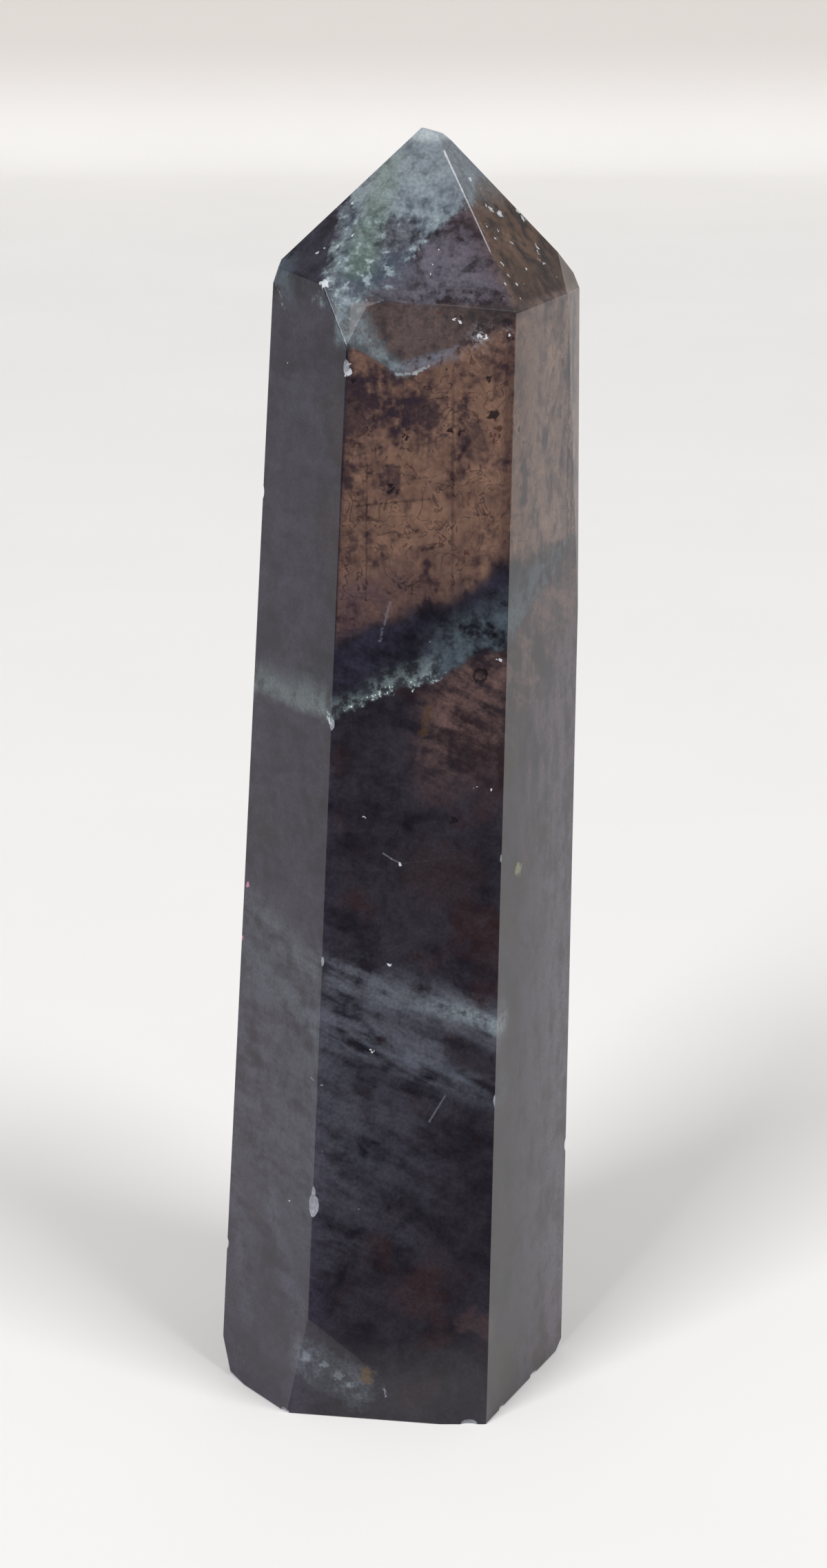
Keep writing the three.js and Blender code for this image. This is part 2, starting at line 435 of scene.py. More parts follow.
fluorite_material = bpy.data.materials.new("polished_fluorite")
g = Graph(fluorite_material)
object_place = g.add("ShaderNodeTexCoord", output="Object")
place = g.add("ShaderNodeVectorMath", {"operation": "SCALE"}, {0: object_place, "Scale": 1 / MM})
split = g.add("ShaderNodeSeparateXYZ", None, {0: place})
x, y, z = (split.output(i) for i in range(3))
skin_corners = [vertex.co / MM for vertex in stone.data.vertices]
skin = BVHTree.FromPolygons(skin_corners, [face.vertices for face in stone.data.polygons])


def on_front(x_mm, z_mm):
    """The point of the stone's skin straight behind (x, z) as seen from the front."""
    hit = skin.ray_cast((x_mm, FRONT_OF_ALL, z_mm), (0, 1, 0))[0]
    return tuple(hit)


def over_plane(level, slope_x, slope_y):
    """Height over the plane z = level + slope_x * x + slope_y * y."""
    return z - (level + slope_x * x + slope_y * y)


def layered(height, along, across, detail=4.0, rough=0.6):
    """Noise drawn out along a layer, in lumps along wide and across thick. Height is that over its plane."""
    stretched = g.add("ShaderNodeCombineXYZ", None, {0: x / along, 1: y / along, 2: height / across})
    return g.noise(stretched, 1.0, detail, rough)


def report(layer):
    """Prints a layer's name and how many nodes the material has once it is in."""
    print(f"{layer}: {len(g.tree.nodes)} nodes so far")


report("places")

# %% [markdown]
# ## Noises shared by the layers
# The same few noises make every edge ragged. Fewer textures render faster, and edges that share their waves
# look as if they grew together. Small marks are torn rather than round, because their place is bent to and
# fro by a noise that has three parts, one for each direction.

# %% Shared noises
SMEAR_SLOPE_X = 0.49
SMEAR_SLOPE_Y = 0.29
TEAR_NOISE_SCALE = 3.0
TEAR = (0.6, 0.6, 0.6)

broad = g.noise(place, 6.0, detail=3.0, rough=0.55)
lumps = g.noise(place, 2.4, detail=5.0, rough=0.64, twist=0.4)
fine = g.noise(place, 0.7, detail=3.0, rough=0.65)
wave = 2.0 * (g.noise(place, 3.6, detail=2.0, rough=0.55) - 0.5)
ripple = fine - 0.5
crumble = g.noise(place, 0.2, detail=2.0) - 0.5
smear = layered(z + SMEAR_SLOPE_X * x + SMEAR_SLOPE_Y * y, 3.8, 0.9, detail=4.0)
flow = g.add("ShaderNodeCombineXYZ", None, {0: x / 1.2, 1: y / 1.2, 2: z / 4.5})
upright = g.noise(flow, 1.0, detail=4.0, rough=0.65)
mottle = 0.6 * lumps + 0.4 * fine
ragged = 3.4 * ripple + wave
tear_sockets = {"Vector": place, "Scale": TEAR_NOISE_SCALE, "Detail": 2.0}
tear_noise = g.add("ShaderNodeTexNoise", {"noise_dimensions": "3D"}, tear_sockets, "Color")
bend = g.vectors("MULTIPLY", g.vectors("SUBTRACT", tear_noise, (0.5, 0.5, 0.5)), TEAR)
torn_place = g.vectors("ADD", place, bend)
report("shared noises")

# %% [markdown]
# ## Shapes of the patches
# Four kinds of patch make up every layer's detail: a ball, a line, a handful of placed marks and a scatter of
# flecks. Each is a distance, turned into a mask. An edge, which is a noise around 0, is added to the distance
# to make the outline ragged.


# %% Shapes of the patches
def blob(middle, size, edge=0.0):
    """1 in the middle of a ball of radius size, fading to 0 at its skin."""
    return g.soft(g.vectors("DISTANCE", place, middle, output="Value") + edge, size, 0.3 * size)


def line(start, end, half_width, edge=0.0):
    """1 on the line between two points, fading to 0 at half_width from it."""
    start, end = np.array(start, float), np.array(end, float)
    way = end - start
    from_start = g.vectors("SUBTRACT", place, tuple(start))
    share = g.clamped(g.vectors("DOT_PRODUCT", from_start, tuple(way / (way @ way)), output="Value"))
    nearest = g.add("ShaderNodeVectorMath", {"operation": "SCALE"}, {0: tuple(way), "Scale": share})
    distance = g.vectors("DISTANCE", from_start, nearest, output="Value")
    return g.soft(distance + edge, half_width, 0.3 * half_width)


def marks(spots, edge=0.0):
    """1 on small torn marks, given as (x, z, radius) seen from the front. The nearest mark counts."""
    nearest = None
    for x_mm, z_mm, radius in spots:
        far = g.vectors("DISTANCE", torn_place, on_front(x_mm, z_mm), output="Value") / radius
        nearest = far if nearest is None else g.maths("MINIMUM", nearest, far)
    return g.soft(nearest + edge, 1.15, 0.75)


def flecks(size, radius, share):
    """Small torn flecks, one in each cell of about size, of which only a share are kept."""
    reach = radius / size
    cells = g.add("ShaderNodeTexVoronoi", {"feature": "F1"}, {"Vector": torn_place, "Scale": 1 / size})
    lot = g.add("ShaderNodeSeparateColor", None, {0: cells.output("Color")})
    kept = g.soft(lot, 1 - share, 1 - share + 0.02)
    return g.soft(cells.output("Distance") + 1.2 * reach * crumble, reach, 0.5 * reach) * kept


# %% [markdown]
# ## Dark body
# Most of the stone is a purple so deep that it looks black, with rusty brown stains and a faint blue-grey
# fog. The fog lies thicker to the left and the right, where the stone is thin.

# %% Dark body
DEEP_PURPLE = paint(20, 17, 25)
DULL_PURPLE = paint(35, 31, 39)
STAIN_BROWN = paint(46, 29, 28)
GREY_FOG = paint(60, 58, 67)
LEFT_FOG = paint(64, 60, 82)
RIGHT_FOG_FRONT = paint(56, 48, 66)
RIGHT_FOG_BACK = paint(94, 86, 102)

left_side = g.soft(x - 0.02 * z, -3.6, -6.0)
right_side = g.soft(x, 6.7, 8.0)
stain = g.soft(broad, 0.52, 0.66)
fog = g.soft(0.3 * smear + 0.7 * mottle, 0.36, 0.66)
right_streaks = g.soft(0.4 * upright + 0.6 * mottle, 0.4, 0.58)
right_fog = g.blend(g.soft(x, 7.0, 11.0), RIGHT_FOG_FRONT, RIGHT_FOG_BACK)
colour = g.blend(g.soft(lumps, 0.3, 0.7), DEEP_PURPLE, DULL_PURPLE)
colour = g.blend(0.6 * stain * (1 - 0.7 * left_side), colour, STAIN_BROWN)
colour = g.blend(fog * (0.17 + 0.15 * g.soft(z, 12.0, 26.0)), colour, GREY_FOG)
colour = g.blend(left_side * (0.08 + 0.26 * fog), colour, LEFT_FOG)
colour = g.blend(right_side * (0.06 + 0.6 * right_streaks), colour, right_fog)
report("dark body")

# %% Rusty, pink and blue patches of the dark body
RUST_BROWN = paint(50, 37, 37)
PINK_BROWN = paint(84, 66, 66)
WISP_BLUE = paint(84, 86, 104)

rust = blob(on_front(2.4, 35.8), 3.2, ragged) + 0.35 * blob(on_front(3.0, 9.9), 2.6, ragged)
pink_patch = line((4.5, -9.2, 6.9), (6.0, -9.2, 6.5), 1.2, 2.6 * ripple + 0.5 * wave)
pink_patch = pink_patch + blob((10.2, -0.3, 30.4), 1.1, 1.4 * ripple)
left_wisps = line(on_front(-10.1, 13.0), on_front(-9.3, 5.0), 1.5, 3.0 * ripple + 0.8 * wave)
left_wisps = left_wisps + line(on_front(-8.6, 15.8), on_front(-6.2, 7.4), 1.4, 3.4 * ripple + 0.8 * wave)
colour = g.blend(0.4 * rust, colour, RUST_BROWN)
colour = g.blend(0.28 * pink_patch, colour, PINK_BROWN)
colour = g.blend(0.3 * left_wisps * fog, colour, WISP_BLUE)
report("patches of the dark body")

# %% [markdown]
# ## Pale wisps
# Two thin grey veils slope down to the right across the lower half, and haze trails from them on the left.
# A veil is drawn out noise, kept near its plane. It ends at the front edge of the right facet.

# %% Pale wisps
UPPER_VEIL = (29.1, -0.31, 0.11)
LOWER_VEIL = (25.2, -0.39, 0.11)
UPPER_VEIL_GREY = paint(94, 98, 108)
LOWER_VEIL_GREY = paint(92, 98, 110)
VEIL_CORE_GREY = paint(112, 122, 128)
UNDER_VEIL_GREY = paint(88, 91, 102)
LOW_HAZE_GREY = paint(78, 80, 91)

upper_veil = over_plane(*UPPER_VEIL) + 0.7 * wave
lower_veil = over_plane(*LOWER_VEIL) + 0.6 * wave
veil_streaks = 0.5 * smear + 0.5 * mottle


def veil(height, thick, strength):
    """A ragged grey sheet, thick from its middle to its rim, round the plane that height is measured from."""
    body = g.near_zero(height, thick, 0.1 * thick) * g.soft(x, 7.0, 6.3)
    return body * g.soft(veil_streaks, 0.37, 0.63) * strength


core = g.near_zero(upper_veil, 0.7, 0.1) * g.soft(fine, 0.3, 0.6)
core = core * g.soft(x, -1.0, 6.0) * g.soft(x, 6.9, 6.4)
under_veil = line(on_front(-3.6, 27.0), on_front(1.6, 24.7), 1.9, 3.0 * ripple + 0.8 * wave)
under_veil = under_veil * g.soft(veil_streaks, 0.32, 0.56)
low_haze = g.soft(0.4 * smear + 0.6 * mottle, 0.38, 0.62) * g.soft(z, 32.0, 28.0) * g.soft(x, 6.0, -5.0)
colour = g.blend(veil(upper_veil, 2.2, 0.74) * (1 - 0.5 * left_side), colour, UPPER_VEIL_GREY)
colour = g.blend(core, colour, VEIL_CORE_GREY)
colour = g.blend(veil(lower_veil, 1.5, 0.5) * (1 - 0.3 * left_side), colour, LOWER_VEIL_GREY)
colour = g.blend(0.5 * under_veil, colour, UNDER_VEIL_GREY)
colour = g.blend(low_haze * g.soft(z, 5.0, 20.0) * 0.46, colour, LOW_HAZE_GREY)
report("pale wisps")

# %% [markdown]
# ## Amber window
# Above a plane that rises to the right the stone turns clear amber, and light comes through it. It is
# mottled with purple smoke and crossed by hair-thin dark cracks. Clear stone is glass with a light-eating
# filling, so the share of clear stone is kept as a mask of its own, and mixes a see-through shader with a
# cloudy one.

# %% Amber window
SILL = (49.44, 0.48, -0.26)
AMBER_SHADE = paint(42, 31, 38)
AMBER_LIGHT = paint(126, 97, 85)
SMOKE_PURPLE = paint(40, 31, 39)
SILL_PINK = paint(70, 55, 62)

sill = over_plane(*SILL) + 1.4 * wave + 0.4 * ripple
front_limit = g.soft(x - 0.05 * z + 6.0, -0.05, 0.1)
window = g.soft(sill, -1.0, 0.9) * front_limit
patches = g.soft(0.42 * lumps + 0.26 * upright + 0.32 * fine, 0.38, 0.58)
smoke_puffs = (
    (1.0, blob((-2.8, -7.4, 63.6), 3.8, ragged)),
    (1.0, blob((1.6, -8.0, 63.6), 2.2, 3.4 * ripple)),
    (0.6, blob((4.4, -8.0, 62.0), 1.6, 2.6 * ripple)),
    (0.8, g.soft(sill, 5.5, 1.0) * g.soft(mottle, 0.43, 0.56) * g.soft(x, 5.0, 1.0)),
    (0.7, line((-0.1, -8.1, 60.0), (-0.2, -8.1, 58.8), 0.7, 2.4 * ripple)),
    (0.8, blob((-2.6, -7.6, 64.6), 2.2, 2.6 * ripple)),
)
smoke = g.clamped(together(share * puff for share, puff in smoke_puffs))
pink_sill = g.soft(sill, 4.6, 2.4) * g.soft(x + wave, 2.0, -1.5) * g.soft(mottle, 0.34, 0.56)
amber = g.blend(patches, AMBER_SHADE, AMBER_LIGHT)
amber = g.blend(0.86 * smoke, amber, SMOKE_PURPLE)
amber = g.blend(0.75 * pink_sill, amber, SILL_PINK)
colour = g.blend(window, colour, amber)
clear = window * (0.1 + 0.5 * patches) * (1 - 0.88 * smoke) * (1 - 0.6 * pink_sill)
report("amber window")

# %% Cracks and seams in the window
CRACK_BROWN = paint(30, 20, 24)
SEAMS = (
    ((3.33, -7.9, 66.0), (3.33, -8.3, 53.0), 0.16),
    ((-1.6, -8.1, 60.5), (-1.7, -8.3, 52.5), 0.1),
    ((-2.2, -8.1, 58.1), (2.0, -8.1, 58.5), 0.1),
)
SPLINTERS = (
    ((4.32, -8.02, 61.93), (3.65, -8.06, 60.81), 0.14),
    ((6.65, -8.13, 58.16), (5.78, -8.17, 56.58), 0.12),
)

crack_noise = g.noise(place, 1.5, detail=2.0, rough=0.6, twist=1.2)
cracks = g.near_zero(crack_noise - 0.5, 0.03, 0.008) * g.soft(lumps, 0.44, 0.54) * window
seams = together(line(start, end, half_width, 0.2 * ripple) for start, end, half_width in SEAMS)
splinters = together(line(start, end, half_width, 0.3 * crumble) for start, end, half_width in SPLINTERS)
hairlines = g.clamped(0.85 * cracks + 0.6 * (seams + splinters))
colour = g.blend(0.8 * hairlines, colour, CRACK_BROWN)
clear = clear * (1 - hairlines)
report("cracks and seams")

# %% [markdown]
# ## Right side of the window
# The right facet of the window is beige with upright grey smears, darker towards the front, and thin dark
# seams run down near its back.

# %% Right side of the window
BEIGE_SHADE = paint(56, 50, 60)
BEIGE_LIGHT = paint(124, 106, 98)
BEIGE_FRONT = paint(46, 38, 44)
SMUDGE_PURPLE = paint(42, 36, 46)
SIDE_SEAM_BROWN = paint(40, 34, 40)
SIDE_SEAM_X = 10.45
SIDE_SEAM_HALF_GAP = 0.15

beige = window * right_side
beige_colour = g.blend(right_streaks, BEIGE_SHADE, BEIGE_LIGHT)
beige_colour = g.blend(g.soft(x, 8.8, 7.0) * 0.66, beige_colour, BEIGE_FRONT)
side_smudges = (
    (1.0, line((7.5, -6.4, 60.0), (7.5, -6.4, 58.0), 0.6, 1.4 * ripple)),
    (0.8, line((10.05, -0.98, 68.08), (9.24, -2.71, 65.72), 0.16, 0.4 * crumble)),
    (0.8, line((9.24, -2.71, 65.72), (8.79, -3.65, 62.87), 0.16, 0.4 * crumble)),
)
side_smudge = together(share * smudge for share, smudge in side_smudges)
from_seam = g.maths("ABSOLUTE", x - SIDE_SEAM_X + 0.5 * ripple) - SIDE_SEAM_HALF_GAP
side_seams = right_side * g.near_zero(from_seam, 0.1, 0.02) * g.soft(z, 50.0, 56.0) * g.soft(z, 69.5, 69.0)
colour = g.blend(0.66 * beige, colour, beige_colour)
colour = g.blend(0.7 * side_smudge, colour, SMUDGE_PURPLE)
colour = g.blend(0.7 * side_seams, colour, SIDE_SEAM_BROWN)
clear = clear * (1 - 0.55 * beige) * (1 - 0.8 * side_smudge) * (1 - side_seams)
report("right side of the window")

# %% [markdown]
# ## Blue band, teal cloud and white crust
# Just under the window lies a blue-black band. Its lower edge is a crust of whitish teal grains, which
# climbs to the right into a teal cloud and goes round the left side as a pale band. Under the crust the
# stone is brown again.

# %% Blue band and teal cloud
CRUST = (49.5, 0.42, 0.31)
BAND_BLACK = paint(13, 13, 20)
BAND_BLUE = paint(42, 41, 56)
TEAL_CLOUD = paint(82, 95, 102)
UNDER_CRUST_BROWN = paint(40, 30, 33)
PATCH_BROWN = paint(106, 83, 79)

crust_height = over_plane(*CRUST) + 0.9 * wave + 0.7 * ripple
band = g.soft(sill, 0.5, -0.7) * g.soft(crust_height, -0.2, 0.3)
cloud = band * g.soft(x + 0.15 * y, -0.6, 2.5) * g.soft(crust_height, 4.2, 1.4) * g.soft(mottle, 0.38, 0.58)
brown_zone = g.soft(crust_height, 0.2, -0.3) * g.soft(crust_height, -8.5, -3.0) * g.soft(x, 0.2, 3.0)
brown_patch = brown_zone * g.soft(0.45 * lumps + 0.2 * fine + 0.35 * smear, 0.45, 0.62)
colour = g.blend(0.85 * band, colour, g.blend(fog, BAND_BLACK, BAND_BLUE))
colour = g.blend(0.6 * cloud, colour, TEAL_CLOUD)
colour = g.blend(0.6 * brown_zone, colour, UNDER_CRUST_BROWN)
colour = g.blend(0.75 * brown_patch, colour, PATCH_BROWN)
clear = clear + 0.16 * brown_patch * g.soft(x, 8.0, 6.6)
report("blue band and teal cloud")

# %% White crust
CRUST_TEAL = paint(122, 136, 139)
CRUMB_WHITE = paint(205, 216, 214)
SIDE_BAND_TEAL = paint(98, 108, 110)
SIDE_PINK = paint(92, 76, 79)
STREAK_AMBER = paint(78, 58, 36)

grains = g.soft(fine, 0.42, 0.62)
crust = g.soft(crust_height, -0.15, 0.15) * g.soft(crust_height, 1.9, 0.15) * g.soft(x, 3.2, 1.6)
crust = crust * (0.15 + 0.85 * grains) * g.soft(x, -4.9, -3.4)
crumbs = g.near_zero(crust_height - 0.2, 0.4, 0.1) * g.soft(crumble + 0.6 * ripple, 0.08, 0.16)
side_band = g.soft(crust_height, -0.5, 0.3) * g.soft(crust_height, 2.6, 0.4) * g.soft(x, -3.6, -4.2)
pink_side = g.soft(z, 34.0, 44.0) * g.soft(crust_height, 0.0, -1.0) * right_side * g.soft(upright, 0.42, 0.66)
amber_streak = line((1.92, -8.46, 45.97), (1.68, -8.49, 44.59), 0.35, 0.8 * ripple)
colour = g.blend(0.64 * crust, colour, CRUST_TEAL)
colour = g.blend(0.9 * crumbs * crust, colour, CRUMB_WHITE)
colour = g.blend(side_band * g.soft(mottle, 0.34, 0.56) * 0.66, colour, SIDE_BAND_TEAL)
colour = g.blend(0.5 * pink_side, colour, SIDE_PINK)
colour = g.blend(0.5 * amber_streak, colour, STREAK_AMBER)
report("white crust")

# %% [markdown]
# ## Cloudy point
# The front of the point is purple-grey smoke, black-purple to its left, and its right side is smoky amber.
# Over them lies a cap of pale teal cloud with a scalloped lower edge, a yellow-green streak and a purple
# hole in it.

# %% Smoke and amber of the point
POINT_START = (69.35, 69.75)
SMOKE_DARK = paint(20, 18, 27)
SMOKE_PALE = paint(82, 81, 94)
LEFT_BLACK = paint(10, 9, 16)
LEFT_PURPLE = paint(42, 40, 54)
LILAC_GREY = paint(82, 83, 96)
RIDGE_BROWN = paint(56, 45, 50)
PALE_SPOT_GREY = paint(92, 97, 112)
SIDE_BROWN_DARK = paint(28, 20, 20)
SIDE_BROWN_LIGHT = paint(92, 68, 52)
SIDE_GREY = paint(104, 104, 106)
SIDE_FOOT_BROWN = paint(34, 20, 16)

right_of_ridge = x + 0.687 * y - 1.75
point = g.soft(z + 0.3 * ripple, *POINT_START)
smoky = point * g.soft(right_of_ridge + 1.6 * ripple, 1.2, -0.6)
lilac = g.soft(z + ripple, 72.4, 70.2) * g.soft(x, -2.0, -0.5) * g.soft(mottle, 0.4, 0.58)
pale_spot = blob((-0.2, -5.9, 71.2), 1.9, 2.6 * ripple)
left_colour = g.blend(fog, LEFT_BLACK, LEFT_PURPLE)
smoke_colour = g.blend(g.soft(mottle, 0.42, 0.6), SMOKE_DARK, SMOKE_PALE)
smoke_colour = g.blend(g.soft(x, -2.0, -4.0) * 0.9, smoke_colour, left_colour)
smoke_colour = g.blend(0.4 * lilac, smoke_colour, LILAC_GREY)
smoke_colour = g.blend(0.55 * g.soft(right_of_ridge + wave, -2.6, 0.0), smoke_colour, RIDGE_BROWN)
smoke_colour = g.blend(0.5 * pale_spot, smoke_colour, PALE_SPOT_GREY)
colour = g.blend(0.92 * smoky, colour, smoke_colour)
clear = clear * (1 - 0.94 * smoky)
amber_side = point * g.soft(right_of_ridge, -0.2, 0.8)
side_colour = g.blend(g.soft(0.6 * upright + 0.4 * fine, 0.4, 0.58), SIDE_BROWN_DARK, SIDE_BROWN_LIGHT)
side_colour = g.blend(g.soft(z + 2 * ripple, 73.8, 76.2), side_colour, SIDE_GREY)
side_colour = g.blend(0.6 * g.soft(z + ripple, 73.0, 70.6), side_colour, SIDE_FOOT_BROWN)
colour = g.blend(0.88 * amber_side, colour, side_colour)
clear = clear * (1 - amber_side * (0.6 + 0.3 * g.soft(z, 74.0, 76.0)))
report("smoke and amber of the point")

# %% Teal cap of the point
SCALLOP = (71.2, 0.86, 0.0)
CAP_DARK = paint(56, 65, 78)
CAP_TEAL = paint(110, 122, 128)
CAP_PALE = paint(132, 140, 147)
STREAK_GREEN = paint(108, 128, 108)
CAP_FLECK_WHITE = paint(170, 186, 190)
SHOULDER_TEAL = paint(80, 94, 104)

scallop = over_plane(*SCALLOP) + 2.4 * ripple + wave
left_limit = g.soft(x - 0.3 * (z - 72.0) + 1.8 * ripple, -4.0, -3.1)
hole = blob((0.3, -4.4, 73.0), 2.0, 2.4 * ripple)
cap = g.soft(z, 69.0, 69.8) * g.soft(scallop, -0.2, 0.5) * left_limit
cap = cap * (1 - 0.7 * hole) * (0.72 + 0.28 * g.soft(fine, 0.3, 0.5))
streak = line((-0.3, -1.2, 76.8), (-2.0, -5.4, 71.6), 1.3, 1.4 * ripple)
white_flecks = g.soft(fine, 0.54, 0.66) * g.soft(z, 74.8, 73.4)
cap_colour = g.blend(g.soft(mottle, 0.40, 0.6), CAP_DARK, CAP_TEAL)
cap_colour = g.blend(g.soft(z + ripple, 73.4, 76.2) * 0.5, cap_colour, CAP_PALE)
cap_colour = g.blend(0.34 * streak, cap_colour, STREAK_GREEN)
cap_colour = g.blend(0.45 * white_flecks, cap_colour, CAP_FLECK_WHITE)
shoulder = blob((-6.6, -2.2, 70.2), 2.4, ragged) * g.soft(mottle, 0.4, 0.56)
colour = g.blend(0.92 * cap, colour, cap_colour)
colour = g.blend(0.5 * shoulder, colour, SHOULDER_TEAL)
clear = clear * (1 - 0.92 * cap)
report("teal cap")

# %% [markdown]
# ## Hollow
# A hollow is ground into the top of the front facet. Its floor is a duller grey-brown, its left rim is a
# teal crust, and along its lowest line a thin white highlight is painted.

# %% Hollow
LEFT_LIP = (65.85, -0.61, 0.0)
RIGHT_LIP = (65.12, 0.52, 0.0)
FLOOR_DARK = paint(30, 25, 30)
FLOOR_LIGHT = paint(64, 54, 57)
RIM_TEAL = paint(102, 117, 124)
LIP_BLUE = paint(116, 122, 138)
# The next white is for a painted highlight on the lowest edge of the hollow.
LIP_HIGHLIGHT_WHITE = paint(160, 170, 176)
CLOUD_WHITE = paint(146, 144, 152)

over_left_lip = g.soft(over_plane(*LEFT_LIP), -0.03, 0.06)
hollow = over_left_lip * g.soft(over_plane(*RIGHT_LIP), -0.4, 0.5)
hollow = hollow * g.soft(z, 69.75, 69.5) * g.soft(y, -5.5, -6.0) * front_limit
rim_limit = g.soft(x - 0.05 * z + 6.9, -0.1, 0.3)
corner_cloud = g.soft(x + 0.5 * (z - 68.5) + 1.6 * ripple, -0.8, -1.8) * rim_limit
corner_cloud = corner_cloud * g.soft(z, 67.0, 67.6) * g.soft(z, 70.0, 69.6) * g.soft(y, -5.2, -5.8)
rim = line((-3.2, -7.2, 68.8), (0.16, -7.9, 65.9), 0.8, 1.0 * ripple) * over_left_lip
rim = g.clamped(rim * g.soft(y, -6.2, -6.9) * rim_limit + corner_cloud)
pale_lip = line((0.1, -7.9, 65.95), (3.6, -7.9, 67.0), 0.6, 1.2 * ripple)
# A painted highlight: a thin white line where the crisp lower edge of the hollow catches the light.
lip_highlight = line((0.1, -7.92, 65.74), (1.19, -7.92, 65.78), 0.12, 0.5 * crumble)
lip_highlight = lip_highlight + line((1.19, -7.92, 65.78), (1.94, -7.91, 66.2), 0.1, 0.5 * crumble)
white_cloud = blob((4.9, -7.8, 67.8), 1.3, 2.8 * ripple) + 0.5 * blob((6.4, -7.8, 68.0), 0.9, 2.0 * ripple)
white_cloud = white_cloud * g.soft(fine + 0.6 * crumble, 0.44, 0.66)
colour = g.blend(0.88 * hollow, colour, g.blend(g.soft(mottle, 0.4, 0.6), FLOOR_DARK, FLOOR_LIGHT))
colour = g.blend(0.66 * rim * (0.4 + 0.6 * grains), colour, RIM_TEAL)
colour = g.blend(0.5 * pale_lip * g.soft(fine, 0.36, 0.56), colour, LIP_BLUE)
colour = g.blend(0.42 * lip_highlight, colour, LIP_HIGHLIGHT_WHITE)
colour = g.blend(0.46 * white_cloud, colour, CLOUD_WHITE)
clear = clear * (1 - 0.7 * hollow) * (1 - 0.8 * rim) * (1 - 0.7 * white_cloud) * (1 - lip_highlight)
report("hollow")

# %% [markdown]
# ## Foot
# The flat ground off the front of the foot is clouded with pale flecks, and has one rusty spot.

# %% Foot
FOOT_GREY = paint(104, 111, 121)
FOOT_FLECK_GREY = paint(138, 148, 156)
FOOT_RUST = paint(92, 72, 42)
FOOT_FLECKS = ((-5.6, 4.3, 0.34), (-4.5, 3.8, 0.28), (-3.6, 3.1, 0.34), (-2.9, 2.4, 0.24))

foot_cloud = line((-5.7, -8.8, 4.4), (-2.6, -9.0, 2.4), 1.9, 3.2 * ripple + 0.9 * wave) * g.soft(z, 6.6, 5.6)
foot_cloud = foot_cloud * (0.3 + 0.7 * g.soft(0.6 * fine + 0.4 * lumps + 0.12 * crumble, 0.42, 0.62))
colour = g.blend(0.5 * foot_cloud, colour, FOOT_GREY)
colour = g.blend(0.34 * marks(FOOT_FLECKS, 2.0 * crumble), colour, FOOT_FLECK_GREY)
colour = g.blend(0.6 * blob(on_front(-1.9, 3.2), 0.7, 1.4 * ripple), colour, FOOT_RUST)
report("foot")

# %% [markdown]
# ## Small marks
# A real tumbled and handled stone is full of small marks: dark and rusty specks in the amber, a few chips
# and some dust, and glints where tiny cracks catch the light, painted on in white. The ones that the eye
# finds at once are placed one by one, as (x, z, radius) seen from the front. The rest are scattered.

# %% Specks, pale flecks and painted glints
SPECK_BLACK = paint(24, 17, 20)
SPECK_RUST = paint(64, 36, 30)
# The white below is for painted glints and a few pale flecks.
GLINT_AND_FLECK_WHITE = paint(200, 206, 212)
DARK_SPECKS = (
    (5.66, 63.4, 0.34), (3.76, 62.3, 0.14), (3.17, 62.5, 0.16), (0.71, 62.1, 0.14), (-2.36, 65.4, 0.15),
    (5.41, 65.5, 0.13), (7.16, 62.4, 0.18), (6.14, 70.0, 0.15), (6.58, 70.1, 0.12), (8.5, 69.6, 0.1),
    (3.43, 68.9, 0.1), (3.78, 68.9, 0.1), (-0.2, 59.1, 0.3), (0.45, 62.2, 0.12), (3.52, 39.1, 0.2),
)
RUSTY_SPECKS = (
    (5.9, 62.6, 0.2), (5.6, 62.2, 0.14), (5.75, 61.9, 0.12), (6.0, 62.2, 0.12), (4.19, 55.3, 0.14),
    (0.72, 69.3, 0.14), (2.41, 69.2, 0.12), (5.51, 72.7, 0.22), (9.82, 65.3, 0.24),
)
# Painted glints: white spots where light catches tiny cracks, on the point, in the hollow and on the body.
POINT_GLINTS = (
    (-4.07, 70.6, 0.26), (2.18, 71.73, 0.09), (2.14, 71.23, 0.09), (2.57, 72.53, 0.07), (6.14, 71.7, 0.1),
    (7.6, 71.15, 0.1), (6.31, 70.72, 0.12), (6.97, 70.55, 0.12), (7.24, 69.79, 0.1), (9.46, 70.3, 0.1),
    (6.76, 72.5, 0.08), (4.36, 76.03, 0.12), (5.6, 74.3, 0.2), (6.1, 74.0, 0.26), (5.3, 74.6, 0.12),
    (7.2, 73.9, 0.18), (7.5, 73.5, 0.2), (8.38, 71.9, 0.13), (8.42, 71.6, 0.12), (8.42, 71.3, 0.09),
    (5.8, 72.9, 0.09), (5.95, 73.3, 0.08), (-2.5, 74.66, 0.12), (-4.52, 71.99, 0.09), (-4.04, 72.35, 0.08),
    (-3.31, 72.45, 0.09), (-2.47, 73.09, 0.1),
)
HOLLOW_GLINTS = (
    (3.39, 68.85, 0.07), (3.67, 68.7, 0.08), (5.2, 67.85, 0.15), (4.85, 67.88, 0.09), (4.49, 67.77, 0.07),
    (6.5, 68.0, 0.1), (-2.71, 66.3, 0.13), (-2.72, 65.8, 0.2),
)
BODY_GLINTS = (
    (-3.88, 45.2, 0.16), (1.03, 47.1, 0.1), (4.78, 41.2, 0.09), (5.67, 41.1, 0.09), (6.1, 48.98, 0.13),
    (-0.42, 30.2, 0.11), (-1.47, 24.7, 0.13), (0.25, 36.5, 0.1), (-1.91, 39.4, 0.08),
)

